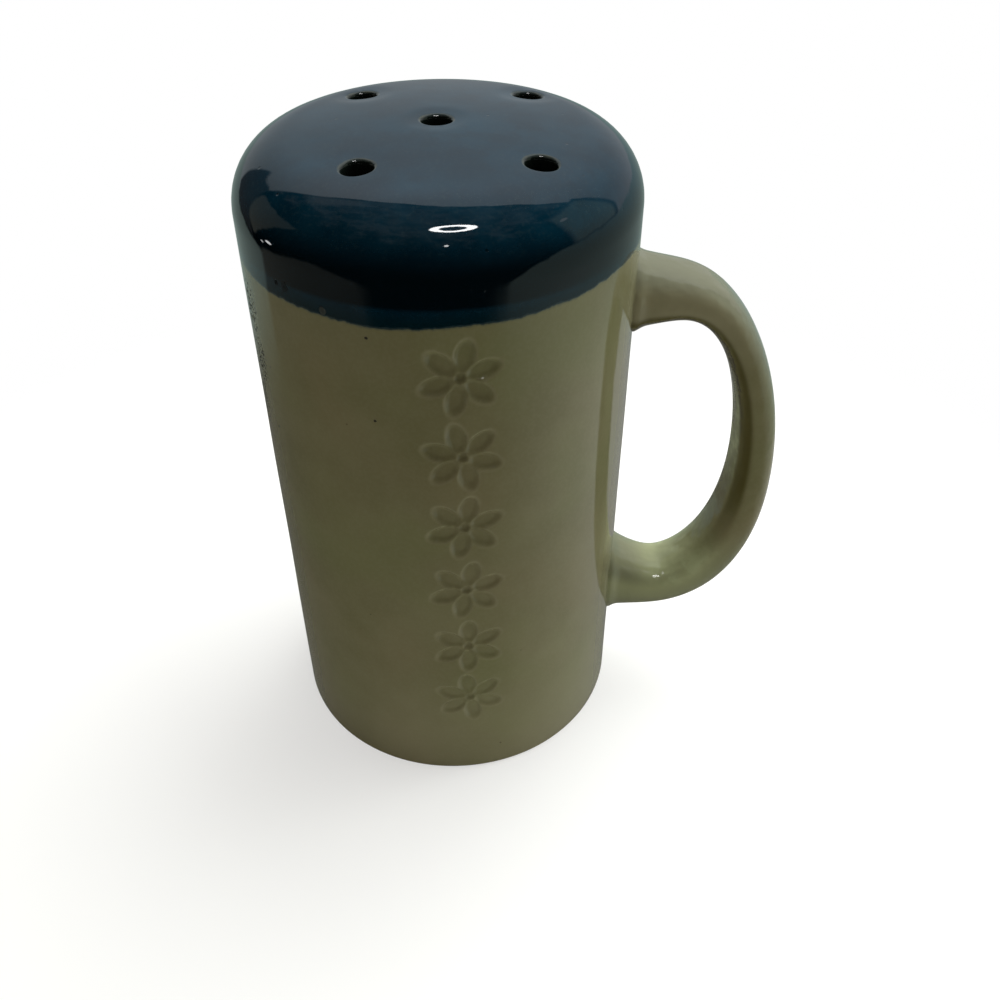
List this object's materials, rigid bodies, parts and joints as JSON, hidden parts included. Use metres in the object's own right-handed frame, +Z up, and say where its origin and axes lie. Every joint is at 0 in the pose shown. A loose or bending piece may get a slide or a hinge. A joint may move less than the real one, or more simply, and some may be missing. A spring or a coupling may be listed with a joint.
{
  "type": "parmesan shaker",
  "caption": "Stoneware cheese shaker shaped like a tall mug: closed crowned top with pouring holes, sage wall, dark blue top, ear handle, and a cork in the filling hole of its base.",
  "frame": {"origin": "on the pot's axis, in the plane of the foot ring that it stands on", "axes": "+Z up along the pot's axis, +X from the axis towards the handle"},
  "size_m": [0.1168, 0.081, 0.146],
  "materials": {
    "sage_glaze": "satin-gloss sage green stoneware glaze",
    "blue_glaze": "glossy dark blue stoneware glaze",
    "cork": "natural cork, matt"
  },
  "bodies": {
    "shaker": {"body_wall": "sage_glaze", "shaker_top": "blue_glaze", "handle": "sage_glaze", "base_floor": "sage_glaze"},
    "stopper": {"cork": "cork"}
  },
  "joints": [
    {"name": "cork_pull", "type": "slide", "parent": "shaker", "child": "stopper", "axis": [0, 0, -1], "range_m": [0, 0.03]}
  ]
}
